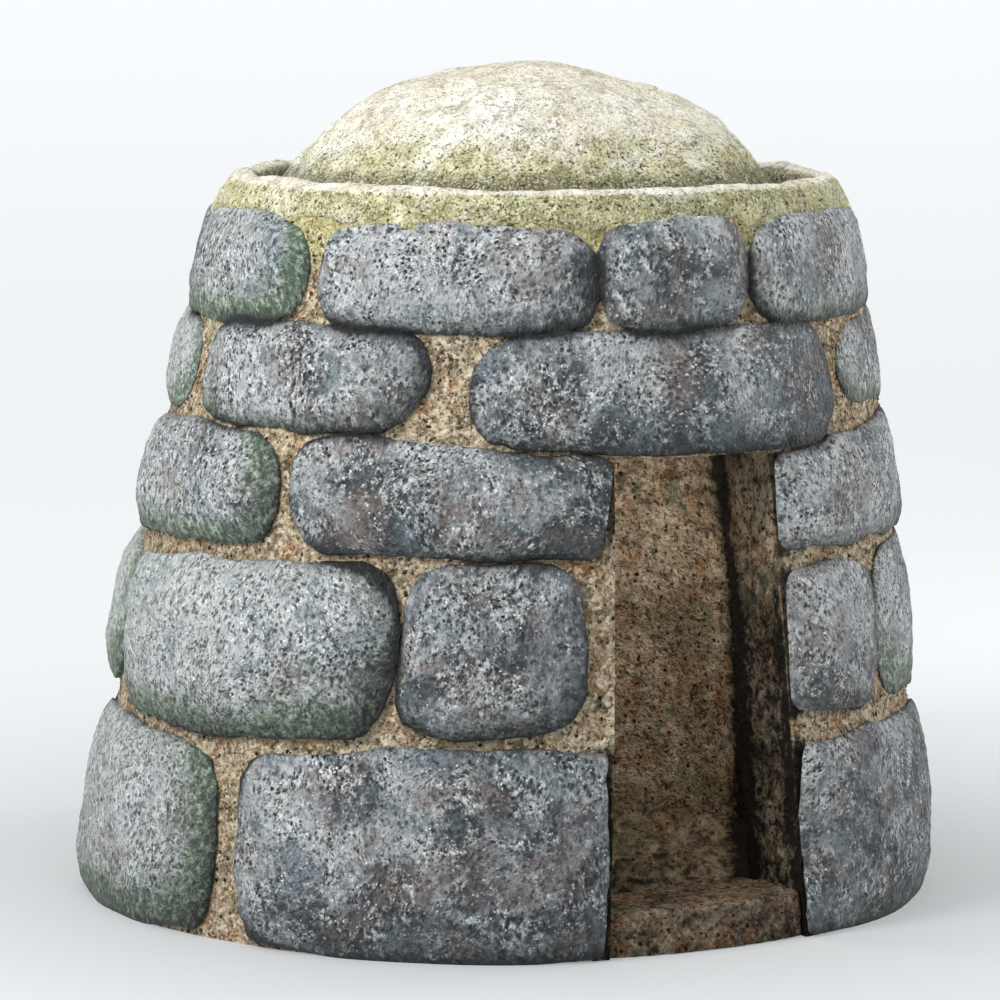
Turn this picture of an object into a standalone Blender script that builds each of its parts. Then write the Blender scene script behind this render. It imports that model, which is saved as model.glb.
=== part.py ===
"""Round stone hut: five courses of boulders set in a mortared rubble wall, with a low doorway,
a raised threshold, an earth floor and a clay dome behind a low rim.

Metres, +Z up. The origin is on the ground under the middle of the wall's foot. The doorway faces -Y.
An azimuth is in degrees round the wall from -Y, positive towards +X: to the right, seen from the front.
A depth is measured outwards from the mortar's outer face, so a boulder's tail has a negative one.
"""

import math

import bmesh
import bpy
from mathutils import Vector

CLEARANCE = 0.0004

# Wall: the mortar's outer face as (height, radius), and the room inside it
WALL_PROFILE = ((0.0, 1.46), (0.72, 1.385), (1.33, 1.30), (1.72, 1.235), (2.07, 1.165), (2.40, 1.10))
WALL_HEAD = WALL_PROFILE[-1][0]
ROOM_RADIUS_AT_GROUND = 1.12
ROOM_RADIUS_AT_HEAD = 0.88
LEAN = Vector((0.0357, -0.019))  # how far the wall's axis drifts for each metre of height
FACET = 7.5  # degrees of wall in one flat facet
SEGMENT_CLEARANCE = 0.01  # degrees, each side of a joint between two lengths of wall

# Doorway: narrower at the top, and leaning with the wall
DOOR_HALF_WIDTH_AT_SILL = 0.37
DOOR_HALF_WIDTH_AT_HEAD = 0.29
DOOR_MIDDLE_AT_SILL = 0.018
DOOR_MIDDLE_AT_HEAD = 0.036
DOOR_HEAD = 1.63
SILL_HEIGHT = 0.15
HEAD_BEARING_AZIMUTH = 24.0  # the masonry over the door rests on the wall out to here

FLOOR_THICKNESS = 0.05

# Roof: a dome, the gutter round its foot, and the rim outside that
RIM_TOP = 2.505
RIM_SET_BACK = 0.012  # the rim's outer face stands this far inside the wall's
RIM_INNER_RADIUS = 0.957
GUTTER_HEIGHT = 2.425
DOME_FOOT_RADIUS = 0.83
DOME_PEAK = 2.885
DOME_FULLNESS = 2.8
CEILING_RADIUS = 0.80
CEILING_PEAK = 2.715
CEILING_FULLNESS = 2.4
ROOF_FACETS = 40

# Boulders: each course says how far its tails reach into the wall, and lists its stones. A stone is its swell
# past the mortar and four corners on the wall's face, (azimuth, height) at left bottom, right bottom, right top
# and left top.
CORNER_CUT = 0.11
DRESSED_CUT = 0.035  # corners of the stones that are cut square beside the door
DRESSED_LIP = 0.035  # how far such a stone's face overhangs the mortar that covers its tail
TAIL_TAPER = 0.05

COURSES = {
    "base_stone": {
        "tail": 0.12,
        "stones": [
            (0.095, (-122, -0.03), (-69.6, -0.03), (-71.7, 0.63), (-119, 0.68)),
            (0.11, (-64.2, -0.03), (-14.9, -0.03), (-15.3, 0.70), (-66.8, 0.66)),
            (0.08, (14.6, -0.03), (64.5, -0.03), (62, 0.67), (14.8, 0.65)),
            (0.09, (69, -0.03), (121, -0.03), (119, 0.66), (67, 0.70)),
            (0.11, (126, -0.03), (176, -0.03), (178, 0.70), (124, 0.64)),
            (0.10, (181, -0.03), (233, -0.03), (236, 0.66), (183, 0.68)),
        ],
    },
    "second_course_stone": {
        "tail": 0.11,
        "stones": [
            (0.09, (-142, 0.71), (-106.5, 0.72), (-110.5, 1.23), (-144, 1.27)),
            (0.10, (-102.5, 0.68), (-45.3, 0.69), (-44.7, 1.30), (-107, 1.22)),
            (0.10, (-44.4, 0.72), (-18.4, 0.735), (-18.7, 1.295), (-42.4, 1.30)),
            (0.08, (14.6, 0.77), (33.2, 0.71), (35.4, 1.23), (14.6, 1.235)),
            (0.045, (36.0, 0.72), (71, 0.72), (68, 1.26), (37.6, 1.26)),
            (0.08, (75, 0.73), (122, 0.71), (119, 1.27), (72, 1.29)),
            (0.10, (126, 0.72), (168, 0.75), (170, 1.26), (123, 1.29)),
            (0.09, (172, 0.74), (214, 0.71), (212, 1.28), (174, 1.27)),
        ],
    },
    "third_course_stone": {
        "tail": 0.10,
        "stones": [
            (0.08, (-121, 1.27), (-66.3, 1.31), (-68.8, 1.71), (-119, 1.67)),
            (0.08, (-62.7, 1.31), (-15.3, 1.32), (-15.0, 1.625), (-65.0, 1.708)),
            (0.06, (14.2, 1.30), (61.5, 1.27), (60.5, 1.69), (14.0, 1.60)),
            (0.07, (66, 1.30), (116, 1.31), (118, 1.68), (64, 1.70)),
            (0.08, (121, 1.31), (177, 1.30), (175, 1.70), (123, 1.67)),
            (0.08, (182, 1.30), (235, 1.31), (237, 1.69), (180, 1.71)),
        ],
    },
    "fourth_course_stone": {
        "tail": 0.09,
        "stones": [
            (0.045, (-135, 1.72), (-95.2, 1.72), (-96.2, 2.03), (-132, 2.03)),
            (0.06, (-91.2, 1.715), (-45.2, 1.72), (-43.8, 2.035), (-92.4, 2.03)),
            (0.065, (-35.6, 1.69), (28.4, 1.65), (28.8, 2.04), (-36.9, 2.04)),
            (0.025, (32.0, 1.73), (69, 1.73), (71, 2.03), (32.6, 2.03)),
            (0.04, (74, 1.73), (124, 1.71), (121, 2.04), (76, 2.03)),
            (0.06, (129, 1.72), (172, 1.73), (174, 2.04), (126, 2.03)),
            (0.055, (177, 1.73), (220, 1.72), (223, 2.04), (179, 2.03)),
        ],
    },
    "top_course_stone": {
        "tail": 0.08,
        "stones": [
            (0.065, (-112, 2.06), (-68.3, 2.06), (-70.5, 2.39), (-113, 2.395)),
            (0.065, (-64.8, 2.058), (-16.7, 2.058), (-18.0, 2.38), (-67.6, 2.385)),
            (0.065, (-15.9, 2.06), (9.4, 2.06), (10.8, 2.395), (-17.2, 2.39)),
            (0.05, (10.4, 2.06), (59.5, 2.06), (58.5, 2.38), (11.7, 2.395)),
            (0.055, (63, 2.06), (106, 2.06), (108, 2.395), (62, 2.38)),
            (0.065, (109.5, 2.06), (152, 2.06), (150, 2.395), (111.5, 2.385)),
            (0.065, (156, 2.06), (199, 2.06), (197, 2.38), (154, 2.39)),
            (0.06, (203, 2.06), (244, 2.06), (242.5, 2.39), (201, 2.395)),
        ],
    },
}
LINTEL = ("fourth_course_stone", 3)
DRESSED_ENDS = {  # the ends that are cut square at the doorway
    ("base_stone", 2): "right",
    ("base_stone", 3): "left",
    ("second_course_stone", 4): "left",
    ("third_course_stone", 2): "right",
    ("third_course_stone", 3): "left",
}


def material(name, colour, roughness):
    made = bpy.data.materials.new(name)
    made.use_nodes = True
    shader = made.node_tree.nodes["Principled BSDF"]
    shader.inputs["Base Color"].default_value = (*colour, 1.0)
    shader.inputs["Roughness"].default_value = roughness
    return made


def add_object(name, mesh, finish=None):
    made = bpy.data.objects.new(name, mesh)
    bpy.context.scene.collection.objects.link(made)
    if finish is not None:
        mesh.materials.append(finish)
    return made


def add_cutter(name, mesh):
    made = add_object(name, mesh)
    made.hide_render = True
    made.display_type = "WIRE"
    return made


def closed_mesh(name, points, faces):
    """A mesh of these points and faces, with its faces turned outwards."""
    body = bmesh.new()
    corners = [body.verts.new(p) for p in points]
    for face in faces:
        body.faces.new([corners[i] for i in face])
    bmesh.ops.recalc_face_normals(body, faces=body.faces)
    made = bpy.data.meshes.new(name)
    body.to_mesh(made)
    body.free()
    return made


def read_profile(profile, height):
    """The radius at a height, read along straight lines between the profile's points."""
    for (low, low_radius), (high, high_radius) in zip(profile, profile[1:]):
        if height <= high:
            break
    share = (height - low) / (high - low)
    return low_radius + share * (high_radius - low_radius)


def wall_radius(height):
    return read_profile(WALL_PROFILE, height)


def room_radius(height):
    return ROOM_RADIUS_AT_GROUND + (ROOM_RADIUS_AT_HEAD - ROOM_RADIUS_AT_GROUND) * height / WALL_HEAD


def place(azimuth, height, radius):
    """The point at a radius from the wall's own axis, which leans a little."""
    turn = math.radians(azimuth)
    axis = LEAN * height
    return Vector((axis.x + radius * math.sin(turn), axis.y - radius * math.cos(turn), height))


# Wall


def ring_block(name, start, end, levels, outer, inner):
    """A length of ring between two azimuths: outer and inner give the radius at each of the levels."""
    columns = max(1, round((end - start) / FACET))
    azimuths = [start + (end - start) * i / columns for i in range(columns + 1)]
    rows = len(levels)
    points = [place(a, z, outer(z)) for a in azimuths for z in levels]
    points += [place(a, z, inner(z)) for a in azimuths for z in levels]
    back = len(azimuths) * rows
    faces = []
    for column in range(columns):
        for row in range(rows - 1):
            corner = column * rows + row
            outside = (corner, corner + rows, corner + rows + 1, corner + 1)
            faces.append(outside)
            faces.append(tuple(i + back for i in outside))
        for edge in (column * rows, column * rows + rows - 1):
            faces.append((edge, edge + rows, edge + rows + back, edge + back))
    for first in (0, columns * rows):
        for row in range(first, first + rows - 1):
            faces.append((row, row + 1, row + 1 + back, row + back))
    return closed_mesh(name, points, faces)


def door_prism(name, low, high, clearance=0.0):
    """The doorway's trapezoid, run through the wall along Y. A positive clearance makes it narrower."""
    points = []
    for y in (-2.0, -0.5):
        for side, z in ((-1, low), (1, low), (1, high), (-1, high)):
            share = (z - SILL_HEIGHT) / (DOOR_HEAD - SILL_HEIGHT)
            half_width = DOOR_HALF_WIDTH_AT_SILL + share * (DOOR_HALF_WIDTH_AT_HEAD - DOOR_HALF_WIDTH_AT_SILL)
            middle = DOOR_MIDDLE_AT_SILL + share * (DOOR_MIDDLE_AT_HEAD - DOOR_MIDDLE_AT_SILL)
            points.append(Vector((middle + side * (half_width - clearance), y, z)))
    faces = [(0, 1, 2, 3), (4, 5, 6, 7), (0, 1, 5, 4), (1, 2, 6, 5), (2, 3, 7, 6), (3, 0, 4, 7)]
    return closed_mesh(name, points, faces)


def cut(target, cutter, operation="DIFFERENCE"):
    boolean = target.modifiers.new(cutter.name, "BOOLEAN")
    boolean.operation = operation
    boolean.object = cutter
    boolean.solver = "EXACT"


def build_wall(pockets, mortar):
    """Lengths of mortared rubble round the room, and the block over the door that rests on two of them."""
    head_levels = [DOOR_HEAD] + [z for z, _ in WALL_PROFILE if z > DOOR_HEAD]
    wall_levels = [z for z, _ in WALL_PROFILE]
    doorway = add_cutter("doorway_cutter", door_prism("doorway_cutter", -0.2, DOOR_HEAD))
    head_room_levels = [DOOR_HEAD - CLEARANCE, WALL_HEAD + 0.1]
    head_room = add_cutter(
        "head_cutter",
        ring_block(
            "head_cutter",
            -HEAD_BEARING_AZIMUTH - 2 * SEGMENT_CLEARANCE,
            HEAD_BEARING_AZIMUTH + 2 * SEGMENT_CLEARANCE,
            head_room_levels,
            lambda z: wall_radius(z) + 0.3,
            lambda z: room_radius(z) - 0.3,
        ),
    )
    lengths = {
        "wall_left": (-75, 0),
        "wall_right": (0, 75),
        "wall_back_right": (75, 145),
        "wall_back": (145, 215),
        "wall_back_left": (215, 285),
        "door_head": (-HEAD_BEARING_AZIMUTH, HEAD_BEARING_AZIMUTH),
    }
    for name, (start, end) in lengths.items():
        levels = head_levels if name == "door_head" else wall_levels
        clear = 0.0 if name == "door_head" else SEGMENT_CLEARANCE
        mesh = ring_block(name, start + clear, end - clear, levels, wall_radius, room_radius)
        length = add_object(name, mesh, mortar)
        if name in ("wall_left", "wall_right"):
            cut(length, doorway)
            cut(length, head_room)
        cut(length, pockets_near(name, pockets, start, end, levels[0]))


def pockets_near(name, pockets, start, end, low):
    """One cutter of all the pockets that reach into a length of wall."""
    joined = bmesh.new()
    for mesh, azimuths, top in pockets:
        reaches = any(
            min(azimuths) + turn < end + 1 and max(azimuths) + turn > start - 1
            for turn in (-360, 0, 360)
        )
        if reaches and top > low - 0.02:
            joined.from_mesh(mesh)
    made = bpy.data.meshes.new(name + "_pockets")
    joined.to_mesh(made)
    joined.free()
    return add_cutter(name + "_pockets", made)


def build_threshold(mortar):
    """The raised sill between the door's jambs."""
    levels = [0.0, SILL_HEIGHT]
    mesh = ring_block(
        "threshold", -18, 18, levels, lambda z: wall_radius(z) - 0.01, lambda z: room_radius(z) + CLEARANCE
    )
    threshold = add_object("threshold", mesh, mortar)
    cut(
        threshold,
        add_cutter("threshold_trim", door_prism("threshold_trim", -0.2, 0.4, CLEARANCE)),
        "INTERSECT",
    )


# Boulders


def inset_corners(corners, inset):
    """The corners of a convex outline whose sides have all moved inwards by inset."""
    moved = []
    count = len(corners)
    for i in range(count):
        before, here, after = corners[i - 1], corners[i], corners[(i + 1) % count]
        along_in = (here - before).normalized()
        along_out = (after - here).normalized()
        inward_in = Vector((-along_in.y, along_in.x))
        inward_out = Vector((-along_out.y, along_out.x))
        bisector = inward_in + inward_out
        moved.append(here + bisector * (inset / bisector.dot(inward_in)))
    return moved


def outline(corners, cuts, inset):
    """The rounded outline of a boulder: three points at each corner, and more along the sides."""
    moved = inset_corners(corners, inset)
    count = len(moved)
    ends = []
    for i in range(count):
        before, here, after = moved[i - 1], moved[i], moved[(i + 1) % count]
        reach_in = min(cuts[i], 0.42 * (before - here).length)
        reach_out = min(cuts[i], 0.42 * (after - here).length)
        first = here + (before - here).normalized() * reach_in
        last = here + (after - here).normalized() * reach_out
        ends.append((first, (first + 2 * here + last) / 4, last))
    points = []
    for i in range(count):
        points += ends[i]
        start, end = ends[i][2], ends[(i + 1) % count][0]
        splits = 4 if i % 2 == 0 else 2
        points += [start.lerp(end, k / splits) for k in range(1, splits)]
    return points


class Boulder:
    """One boulder of a course, from its four corners on the wall's face."""

    def __init__(self, corners, swell, tail, dressed_end):
        self.swell = swell
        self.tail = tail
        self.cuts = [CORNER_CUT] * 4
        self.lips = [0.0] * 4
        for corner in {"left": (0, 3), "right": (1, 2)}.get(dressed_end, ()):
            self.cuts[corner] = DRESSED_CUT
            self.lips[corner] = DRESSED_LIP if dressed_end == "left" else -DRESSED_LIP
        middle = sum(z for _, z in corners) / 4
        self.span = wall_radius(max(middle, 0.0))
        self.corners = [Vector((math.radians(a) * self.span, z)) for a, z in corners]
        self.azimuths = [a for a, _ in corners]
        self.top = max(z for _, z in corners)
        width = self.corners[1].x - self.corners[0].x
        height = self.top - max(0.0, min(z for _, z in corners))
        self.half = min(width, height) / 2

    def ring(self, depth, inset, lowest=0.0):
        corners = self.corners
        if depth <= 0:
            corners = [corner + Vector((lip, 0)) for corner, lip in zip(corners, self.lips)]
        points = []
        for flat in outline(corners, self.cuts, inset):
            height = max(flat.y, lowest)
            azimuth = math.degrees(flat.x / self.span)
            points.append(place(azimuth, height, wall_radius(height) + depth))
        return points

    def body(self, name):
        swell, half = self.swell, self.half
        return self.loft(
            name,
            [
                self.ring(-self.tail, TAIL_TAPER),
                self.ring(0.0, 0.004),
                self.ring(0.40 * swell, 0.0),
                self.ring(0.80 * swell, 0.20 * half),
                self.ring(swell, 0.52 * half),
            ],
        )

    def pocket(self, name):
        """The hollow that the tail sits in, a hair larger than the tail all round and open below the ground."""
        return self.loft(
            name,
            [
                self.ring(-self.tail - CLEARANCE, TAIL_TAPER - CLEARANCE, -1.0),
                self.ring(0.0, 0.004 - CLEARANCE, -1.0),
                self.ring(0.40 * self.swell, -CLEARANCE, -1.0),
            ],
        )

    def loft(self, name, rings):
        """A skin over the rings, closed at both ends by rungs from one long side to the other."""
        count = len(rings[0])
        points = [p for ring in rings for p in ring]
        faces = []
        for level in range(len(rings) - 1):
            for k in range(count):
                a = level * count + k
                b = level * count + (k + 1) % count
                faces.append((a, b, b + count))
                faces.append((a, b + count, a + count))
        for start in (0, (len(rings) - 1) * count):
            faces += self.rungs(start, count)
        return closed_mesh(name, points, faces)

    def rungs(self, start, count):
        """Triangles between the outline's lower half and its upper half, from the left end to the right."""
        steps = count // 2
        lower = [(k - 1) % count for k in range(steps + 1)]
        upper = [count - 1 - k for k in range(steps + 1)]
        faces = []
        for k in range(steps):
            quad = [lower[k], lower[k + 1], upper[k + 1], upper[k]]
            for triangle in (quad[:3], [quad[0], quad[2], quad[3]]):
                if len(set(triangle)) == 3:
                    faces.append(tuple(start + i for i in triangle))
        return faces


def build_boulders(stone):
    """Every boulder as its own piece. Returns the pockets that they need in the wall."""
    pockets = []
    for course, facts in COURSES.items():
        for number, (swell, *corners) in enumerate(facts["stones"], 1):
            name = "lintel_stone" if (course, number) == LINTEL else f"{course}_{number}"
            boulder = Boulder(corners, swell, facts["tail"], DRESSED_ENDS.get((course, number)))
            add_object(name, boulder.body(name), stone)
            pockets.append((boulder.pocket(name + "_pocket"), boulder.azimuths, boulder.top))
    return pockets


# Floor and roof


def turned_body(name, profile):
    """A closed body turned round the wall's leaning axis from (radius, height) points. A radius of zero is a pole."""
    body = bmesh.new()
    rows = []
    for radius, height in profile:
        if radius == 0:
            rows.append([body.verts.new(place(0, height, 0.0))])
        else:
            step = 360 / ROOF_FACETS
            rows.append([body.verts.new(place(step * i, height, radius)) for i in range(ROOF_FACETS)])
    open_ended = len(rows[0]) == 1 or len(rows[-1]) == 1
    pairs = list(zip(rows, rows[1:])) + ([] if open_ended else [(rows[-1], rows[0])])
    for low, high in pairs:
        for i in range(ROOF_FACETS):
            j = (i + 1) % ROOF_FACETS
            corners = [low[i % len(low)], low[j % len(low)], high[j % len(high)], high[i % len(high)]]
            distinct = list(dict.fromkeys(corners))
            body.faces.new(distinct)
    bmesh.ops.recalc_face_normals(body, faces=body.faces)
    made = bpy.data.meshes.new(name)
    body.to_mesh(made)
    body.free()
    return made


def dome_height(radius):
    rise = DOME_PEAK - GUTTER_HEIGHT - 0.05
    return DOME_PEAK - rise * (radius / DOME_FOOT_RADIUS) ** DOME_FULLNESS


def ceiling_height(radius):
    rise = CEILING_PEAK - WALL_HEAD - CLEARANCE
    return CEILING_PEAK - rise * (radius / CEILING_RADIUS) ** CEILING_FULLNESS


def build_roof(clay):
    seat = WALL_HEAD + CLEARANCE
    outer_radii = [0.0, 0.2, 0.36, 0.5, 0.61, 0.70, 0.77, DOME_FOOT_RADIUS]
    dome = [(r, dome_height(r)) for r in outer_radii]
    gutter = [(DOME_FOOT_RADIUS + 0.035, GUTTER_HEIGHT), (RIM_INNER_RADIUS - 0.001, GUTTER_HEIGHT)]
    foot = [(RIM_INNER_RADIUS - 0.001, seat), (CEILING_RADIUS, seat)]
    ceiling = [(r, ceiling_height(r)) for r in (0.72, 0.6, 0.45, 0.25, 0.0)]
    add_object("roof_dome", turned_body("roof_dome", dome + gutter + foot + ceiling), clay)

    outside = wall_radius(WALL_HEAD) - RIM_SET_BACK
    rim = [
        (RIM_INNER_RADIUS, seat),
        (outside, seat),
        (outside - 0.002, RIM_TOP - 0.035),
        (outside - 0.018, RIM_TOP - 0.005),
        (outside - 0.06, RIM_TOP),
        (RIM_INNER_RADIUS + 0.03, RIM_TOP - 0.008),
        (RIM_INNER_RADIUS + 0.004, RIM_TOP - 0.035),
    ]
    add_object("roof_rim", turned_body("roof_rim", rim), clay)


def build_floor(earth):
    """Beaten earth from wall to wall, as far as the threshold."""
    facet_sagitta = ROOM_RADIUS_AT_GROUND * (1 - math.cos(math.radians(FACET / 2)))
    inset = facet_sagitta + CLEARANCE
    top = FLOOR_THICKNESS
    floor = [(0.0, top), (room_radius(top) - inset, top), (room_radius(0.0) - inset, 0.0), (0.0, 0.0)]
    add_object("earth_floor", turned_body("earth_floor", floor), earth)


def main():
    for existing in list(bpy.data.objects):
        bpy.data.objects.remove(existing)
    stone = material("boulder", (0.21, 0.22, 0.25), 0.85)
    mortar = material("mortar", (0.42, 0.32, 0.22), 0.95)
    clay = material("roof_clay", (0.62, 0.58, 0.42), 0.95)
    earth = material("earth", (0.20, 0.15, 0.10), 1.0)
    build_wall(build_boulders(stone), mortar)
    build_threshold(mortar)
    build_floor(earth)
    build_roof(clay)


main()
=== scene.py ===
import math

import bmesh
import bpy
import numpy as np
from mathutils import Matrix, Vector
from mathutils.bvhtree import BVHTree


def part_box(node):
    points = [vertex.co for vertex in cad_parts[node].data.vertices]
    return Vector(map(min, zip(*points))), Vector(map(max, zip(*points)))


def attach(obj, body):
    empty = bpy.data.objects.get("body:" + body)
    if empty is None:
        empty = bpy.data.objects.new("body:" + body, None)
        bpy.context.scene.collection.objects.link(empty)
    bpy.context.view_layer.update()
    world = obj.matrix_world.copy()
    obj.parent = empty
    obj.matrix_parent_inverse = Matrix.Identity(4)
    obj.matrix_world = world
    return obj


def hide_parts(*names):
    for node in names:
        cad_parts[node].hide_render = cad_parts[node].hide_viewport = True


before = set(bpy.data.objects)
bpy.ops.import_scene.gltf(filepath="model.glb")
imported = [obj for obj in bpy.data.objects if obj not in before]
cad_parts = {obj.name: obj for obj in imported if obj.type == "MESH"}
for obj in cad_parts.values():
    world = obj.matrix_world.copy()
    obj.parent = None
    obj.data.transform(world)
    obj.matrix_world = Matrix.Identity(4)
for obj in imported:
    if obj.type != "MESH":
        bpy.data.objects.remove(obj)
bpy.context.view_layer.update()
print("frame loaded:", len(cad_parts), "nodes")

scene = bpy.context.scene
viewTurn = math.radians(28)  # the photo looks from this far to the left of the doorway


# Colours and nodes

def hexColour(code):
    channels = [int(code[i:i + 2], 16) / 255 for i in (1, 3, 5)]
    linear = [c / 12.92 if c <= 0.04045 else ((c + 0.055) / 1.055) ** 2.4 for c in channels]
    return (*linear, 1.0)


def addNode(tree, kind, inputs=None, **settings):
    # an input is a number, a "#" colour, a socket, or a node whose first live output is taken
    made = tree.nodes.new(kind)
    for name, value in settings.items():
        setattr(made, name, value)
    for name, value in (inputs or {}).items():
        if isinstance(value, bpy.types.Node):
            value = next(o for o in value.outputs if o.enabled)
        if isinstance(value, bpy.types.NodeSocket):
            tree.links.new(value, made.inputs[name])
        elif isinstance(value, str) and value.startswith("#"):
            made.inputs[name].default_value = hexColour(value)
        else:
            made.inputs[name].default_value = value
    return made


def unit(value):
    # held between 0 and 1
    return np.clip(value, 0, 1) if isinstance(value, np.ndarray) else min(1.0, max(0.0, value))


# The wall's own shape: a leaning, tapered ring. A point on it is (run, height, depth): run goes round it from
# the middle of the piece, and depth is how far the point stands out of the mortar's face.

wall = {
    "heights": [0.0, 0.72, 1.33, 1.72, 2.07, 2.40],
    "radii": [1.46, 1.385, 1.30, 1.235, 1.165, 1.10],
    "head": 2.40,
    "lean": (0.0357, -0.019),
    "roomAtGround": 1.12,
    "roomAtHead": 0.88,
    "runRadius": 1.3,
}

door = {
    "halfWidthAtSill": 0.37,
    "halfWidthAtHead": 0.29,
    "middleAtSill": 0.018,
    "middleAtHead": 0.036,
    "sill": 0.15,
    "head": 1.63,
    "headBearing": 24.0,  # degrees
}


def wallRadius(height):
    return np.interp(height, wall["heights"], wall["radii"])


def roomRadius(height):
    return wall["roomAtGround"] + (wall["roomAtHead"] - wall["roomAtGround"]) * height / wall["head"]


def polar(points):
    x = points[:, 0] - wall["lean"][0] * points[:, 2]
    y = points[:, 1] - wall["lean"][1] * points[:, 2]
    return np.arctan2(x, -y), np.hypot(x, y)


def place(azimuth, height, radius):
    x = wall["lean"][0] * height + radius * np.sin(azimuth)
    y = wall["lean"][1] * height - radius * np.cos(azimuth)
    return np.stack([x, y, np.broadcast_to(height, np.shape(x))], axis=-1)


def unroll(points, middle):
    azimuth, radius = polar(points)
    turn = (azimuth - middle + math.pi) % (2 * math.pi) - math.pi
    return np.stack([turn * wall["runRadius"], points[:, 2], radius - wallRadius(points[:, 2])], axis=-1)


def rollUp(flat, middle):
    return place(flat[:, 0] / wall["runRadius"] + middle, flat[:, 1], wallRadius(flat[:, 1]) + flat[:, 2])


def jambX(height, side):
    share = (height - door["sill"]) / (door["head"] - door["sill"])
    half = door["halfWidthAtSill"] + share * (door["halfWidthAtHead"] - door["halfWidthAtSill"])
    middle = door["middleAtSill"] + share * (door["middleAtHead"] - door["middleAtSill"])
    return middle + side * half


# Mesh helpers

def readPoints(mesh):
    points = np.empty(len(mesh.vertices) * 3)
    mesh.vertices.foreach_get("co", points)
    return points.reshape(-1, 3)


def writePoints(mesh, points):
    mesh.vertices.foreach_set("co", np.ascontiguousarray(points, dtype=np.float32).ravel())
    mesh.update()


def writeValue(mesh, name, values):
    made = mesh.attributes.get(name) or mesh.attributes.new(name, "FLOAT", "POINT")
    made.data.foreach_set("value", np.ascontiguousarray(values, dtype=np.float32))


def addObject(name, mesh):
    made = bpy.data.objects.new(name, mesh)
    scene.collection.objects.link(made)
    return made


def mergedCopy(node):
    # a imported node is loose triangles, so its corners are merged first
    body = bmesh.new()
    body.from_mesh(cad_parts[node].data)
    bmesh.ops.remove_doubles(body, verts=body.verts, dist=0.0001)
    mesh = bpy.data.meshes.new(node + "_copy")
    body.to_mesh(mesh)
    body.free()
    return mesh


def bake(made):
    # the modifiers' result as a plain mesh, with the modifiers gone
    result = bpy.data.meshes.new_from_object(made.evaluated_get(bpy.context.evaluated_depsgraph_get()))
    made.modifiers.clear()
    made.data = result
    return made


def remeshed(mesh, voxel, rounds):
    made = addObject("remeshing", mesh)
    grid = made.modifiers.new("grid", "REMESH")
    grid.mode = "VOXEL"
    grid.voxel_size = voxel
    soft = made.modifiers.new("soften", "SMOOTH")
    soft.factor = 0.5
    soft.iterations = rounds
    bake(made)
    result = made.data
    bpy.data.objects.remove(made)
    return result


def setInput(modifier, name, value):
    for item in modifier.node_group.interface.items_tree:
        if item.item_type == "SOCKET" and item.in_out == "INPUT" and item.name == name:
            modifier[item.identifier] = value
            return
    raise KeyError(name)


# Geometry Nodes. Both trees take a mesh, named sizes, a seed and a material.

def newTree(name, sizes, seedKind):
    tree = bpy.data.node_groups.new(name, "GeometryNodeTree")
    for socket, way, kind in (("Geometry", "INPUT", "NodeSocketGeometry"),
                              *((size, "INPUT", "NodeSocketFloat") for size in sizes),
                              ("Seed", "INPUT", seedKind), ("Material", "INPUT", "NodeSocketMaterial"),
                              ("Geometry", "OUTPUT", "NodeSocketGeometry")):
        tree.interface.new_socket(socket, in_out=way, socket_type=kind)
    return tree, addNode(tree, "NodeGroupInput").outputs


def applyTree(made, tree, sizes, seed, material):
    modifier = made.modifiers.new(tree.name, "NODES")
    modifier.node_group = tree
    for name, value in {**sizes, "Seed": seed, "Material": material}.items():
        setInput(modifier, name, value)
    return bake(made)


reliefSizes = ("Lump Size", "Lump Height", "Knob Size", "Knob Height", "Pit Size", "Pit Depth")


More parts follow.
